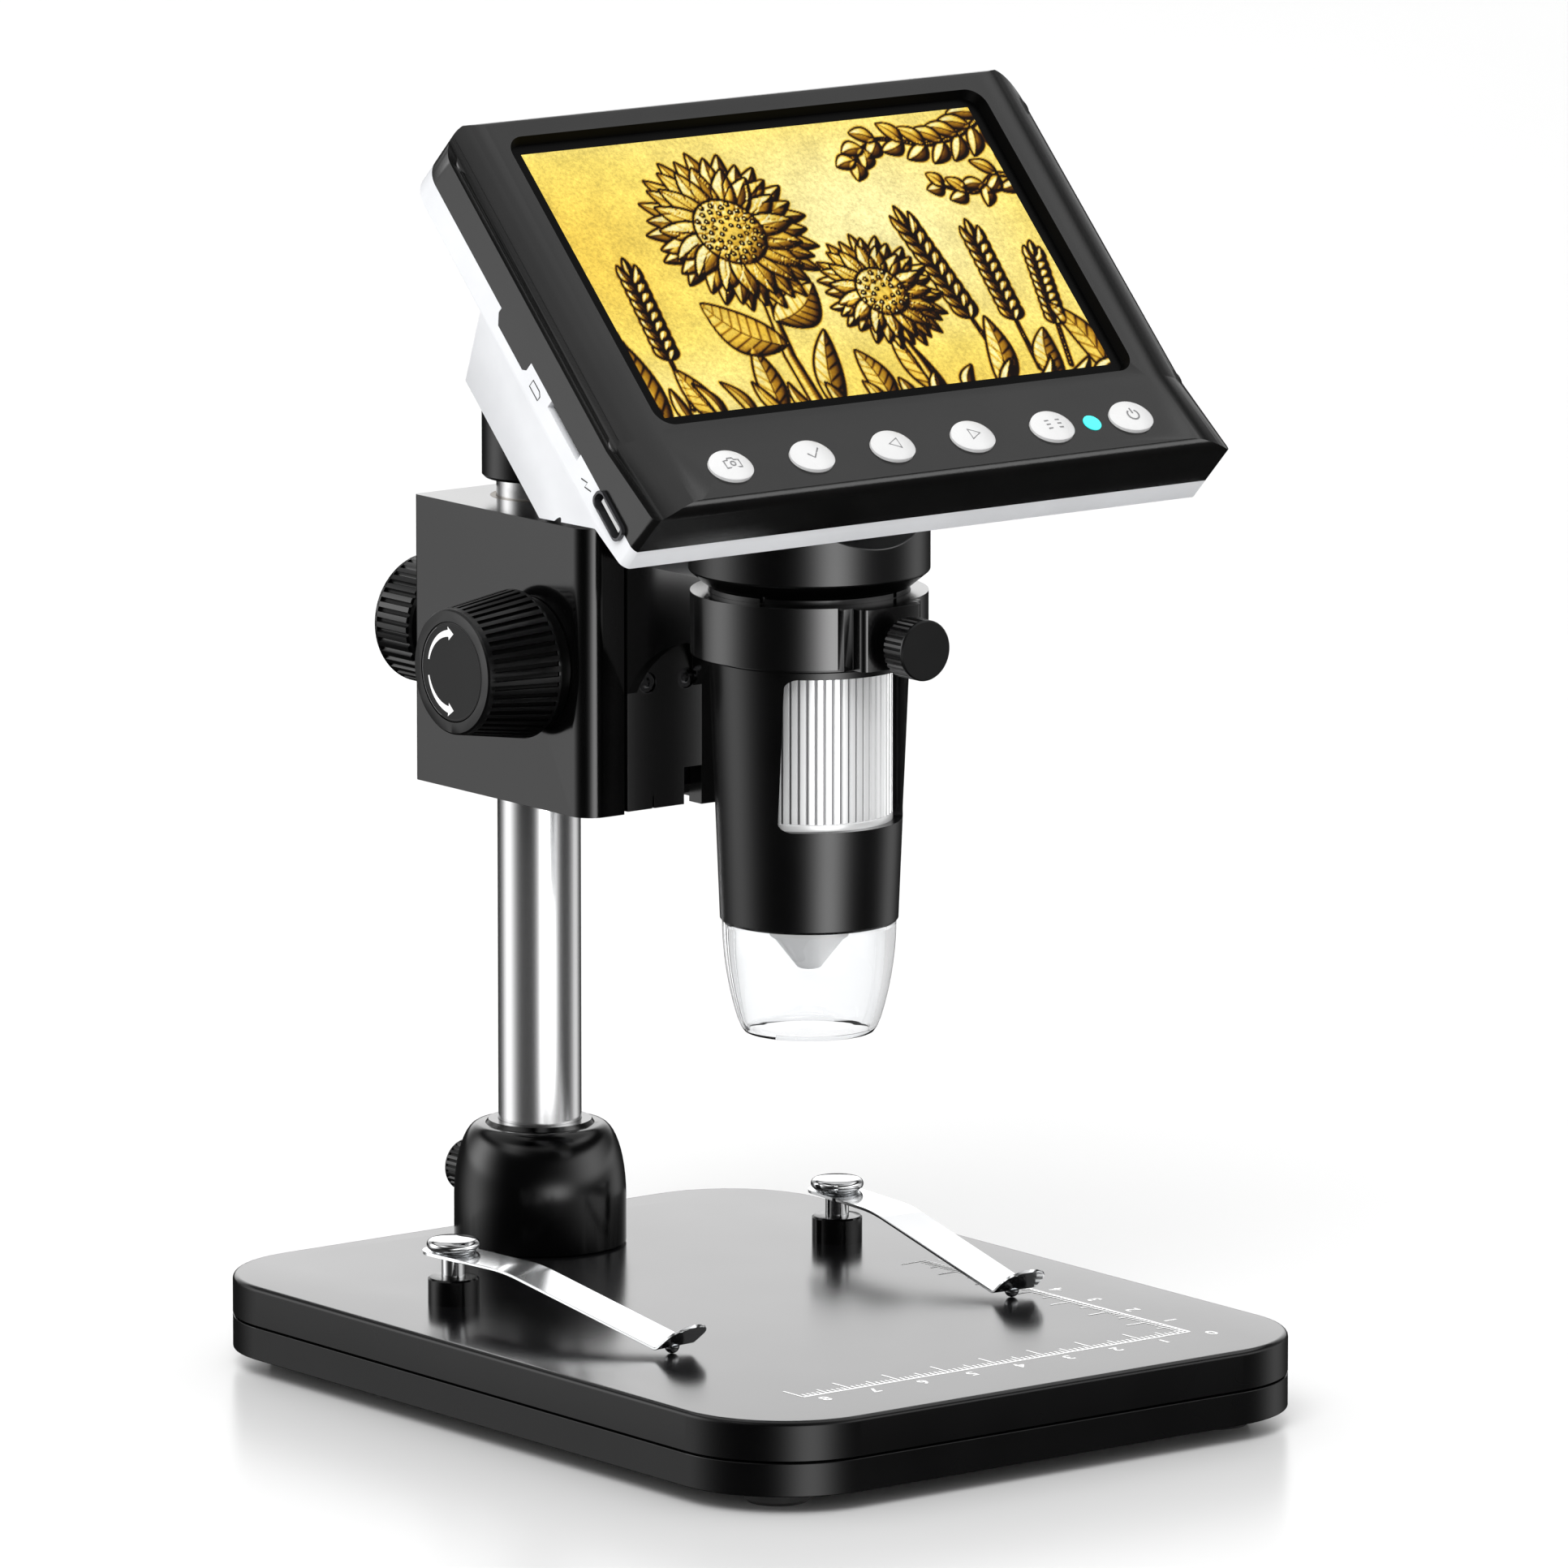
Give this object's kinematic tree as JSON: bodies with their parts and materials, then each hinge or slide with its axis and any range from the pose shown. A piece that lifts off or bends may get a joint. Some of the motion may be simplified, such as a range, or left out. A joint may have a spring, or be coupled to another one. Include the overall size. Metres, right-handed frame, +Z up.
{
  "type": "lcd digital microscope",
  "caption": "Desk microscope with a tilted screen over a lens tube that is held by a ring clamp and a rack focus block on a chromed column, with a flat stage base and spring clips.",
  "frame": {"origin": "on the table under the middle of the whole object's bounding box", "axes": "+Z up; +X along the screen to the user's right; -Y towards the user"},
  "size_m": [0.1192, 0.1712, 0.2154],
  "materials": {
    "black_plastic": "fine grained",
    "ballast_steel": "plain",
    "rubber": "matt",
    "zinc_steel": "zinc plated",
    "black_steel": "blackened",
    "socket_gloss": "glossy",
    "guide_plastic": "satin",
    "chrome": "polished",
    "block_paint": "satin",
    "brass": "plain",
    "knob_plastic": "satin",
    "slide_aluminium": "dark anodised",
    "wheel_aluminium": "satin",
    "lens_glass": "polished",
    "clear_plastic": "clear acrylic",
    "white_satin": "satin",
    "board_green": "solder mask",
    "led_yellow": "phosphor",
    "front_plastic": "satin, fine grained",
    "rear_plastic": "satin white",
    "screen_glass": "glossy",
    "battery_foil": "foil",
    "button_white": "satin",
    "lamp_cyan": "translucent",
    "port_steel": "plated"
  },
  "bodies": {
    "stand": {"base_upper_cover": "black_plastic", "base_lower_cover": "black_plastic", "base_ballast": "ballast_steel", "base_feet": "rubber", "base_screws": "zinc_steel", "pole_socket": "socket_gloss", "socket_screws": "zinc_steel", "socket_bush": "guide_plastic", "clip_collars": "socket_gloss", "clip_studs": "chrome"},
    "socket_screw": {"socket_thumb_screw": "black_steel"},
    "clip_left": {"spring_clip_left": "chrome"},
    "clip_right": {"spring_clip_right": "chrome"},
    "column": {"pole": "chrome", "pole_cap": "black_plastic"},
    "block": {"focus_block": "block_paint", "block_bushes": "brass", "clamp_pad": "brass"},
    "pole_clamp": {"clamp_knob": "knob_plastic", "clamp_screw": "zinc_steel"},
    "height_drive": {"height_knob": "knob_plastic", "knob_disc": "knob_plastic", "pinion_shaft": "zinc_steel", "drive_pinion": "brass"},
    "slide": {"slide_tongue": "slide_aluminium", "focus_rack": "brass", "slide_screws": "black_steel", "clamp_arm": "black_plastic"},
    "ring_screw": {"ring_thumb_screw": "black_steel"},
    "head": {"tube_shell": "black_plastic", "head_collar": "black_plastic", "sensor_board": "board_green", "led_board": "white_satin", "leds": "led_yellow", "lens_cone": "white_satin", "clear_tip": "clear_plastic", "front_shell": "front_plastic", "rear_shell": "rear_plastic", "lcd_panel": "screen_glass", "main_board": "board_green", "battery": "battery_foil", "button_board": "board_green", "indicator_light": "lamp_cyan", "usb_port": "port_steel", "card_slot": "port_steel", "housing_screws": "black_steel"},
    "wheel": {"focus_wheel": "wheel_aluminium"},
    "lens": {"lens_carrier": "guide_plastic", "objective_lens": "lens_glass"},
    "key_camera": {"button_camera": "button_white"},
    "key_ok": {"button_ok": "button_white"},
    "key_left": {"button_left": "button_white"},
    "key_right": {"button_right": "button_white"},
    "key_menu": {"button_menu": "button_white"},
    "key_power": {"button_power": "button_white"}
  },
  "joints": [
    {"name": "socket_screw_turn", "type": "hinge", "parent": "stand", "child": "socket_screw", "pos_m": [0, 0.067, 0.0251], "axis": [0, 1, 0], "range_deg": [0, 360]},
    {"name": "clip_left_turn", "type": "hinge", "parent": "stand", "child": "clip_left", "pos_m": [-0.0401, 0.0232, 0.02], "axis": [0, 0, 1], "range_deg": [-90, 32]},
    {"name": "clip_right_turn", "type": "hinge", "parent": "stand", "child": "clip_right", "pos_m": [0.0401, 0.0232, 0.02], "axis": [0, 0, -1], "range_deg": [-90, 32]},
    {"name": "pole_turn", "type": "hinge", "parent": "stand", "child": "column", "pos_m": [0, 0.053, 0.03], "axis": [0, 0, 1], "continuous": true},
    {"name": "block_slide", "type": "slide", "parent": "column", "child": "block", "axis": [0, 0, -1], "range_m": [-0.003, 0.046]},
    {"name": "pole_clamp_turn", "type": "hinge", "parent": "block", "child": "pole_clamp", "pos_m": [0, 0.07, 0.1177], "axis": [0, 1, 0], "range_deg": [0, 360]},
    {"name": "height_knob_turn", "type": "hinge", "parent": "block", "child": "height_drive", "pos_m": [0, 0.0334, 0.1188], "axis": [-1, 0, 0], "range_deg": [-191.5, 96]},
    {"name": "focus_slide", "type": "slide", "parent": "block", "child": "slide", "axis": [0, 0, 1], "range_m": [-0.02, 0.01]},
    {"name": "ring_screw_turn", "type": "hinge", "parent": "slide", "child": "ring_screw", "pos_m": [0, -0.041, 0.1307], "axis": [0, 1, 0], "range_deg": [0, 360]},
    {"name": "head_turn", "type": "hinge", "parent": "slide", "child": "head", "pos_m": [0, -0.021, 0.1317], "axis": [0, 0, 1], "range_deg": [-60, 60]},
    {"name": "focus_wheel_turn", "type": "hinge", "parent": "head", "child": "wheel", "pos_m": [0, -0.021, 0.11], "axis": [0, 0, 1], "range_deg": [-150, 150]},
    {"name": "lens_slide", "type": "slide", "parent": "head", "child": "lens", "axis": [0, 0, 1], "range_m": [-0.003, 0.003]},
    {"name": "button_camera_press", "type": "slide", "parent": "head", "child": "key_camera", "axis": [0, 0.6088, -0.7934], "range_m": [0, 0.0006], "stiffness_N_per_m": 500},
    {"name": "button_ok_press", "type": "slide", "parent": "head", "child": "key_ok", "axis": [0, 0.6088, -0.7934], "range_m": [0, 0.0006], "stiffness_N_per_m": 500},
    {"name": "button_left_press", "type": "slide", "parent": "head", "child": "key_left", "axis": [0, 0.6088, -0.7934], "range_m": [0, 0.0006], "stiffness_N_per_m": 500},
    {"name": "button_right_press", "type": "slide", "parent": "head", "child": "key_right", "axis": [0, 0.6088, -0.7934], "range_m": [0, 0.0006], "stiffness_N_per_m": 500},
    {"name": "button_menu_press", "type": "slide", "parent": "head", "child": "key_menu", "axis": [0, 0.6088, -0.7934], "range_m": [0, 0.0006], "stiffness_N_per_m": 500},
    {"name": "button_power_press", "type": "slide", "parent": "head", "child": "key_power", "axis": [0, 0.6088, -0.7934], "range_m": [0, 0.0006], "stiffness_N_per_m": 500}
  ],
  "couplings": [
    {"joint": "height_knob_turn", "follows": "focus_slide", "rad_per_m": 166.67},
    {"joint": "lens_slide", "follows": "focus_wheel_turn", "m_per_rad": 0.00114}
  ]
}
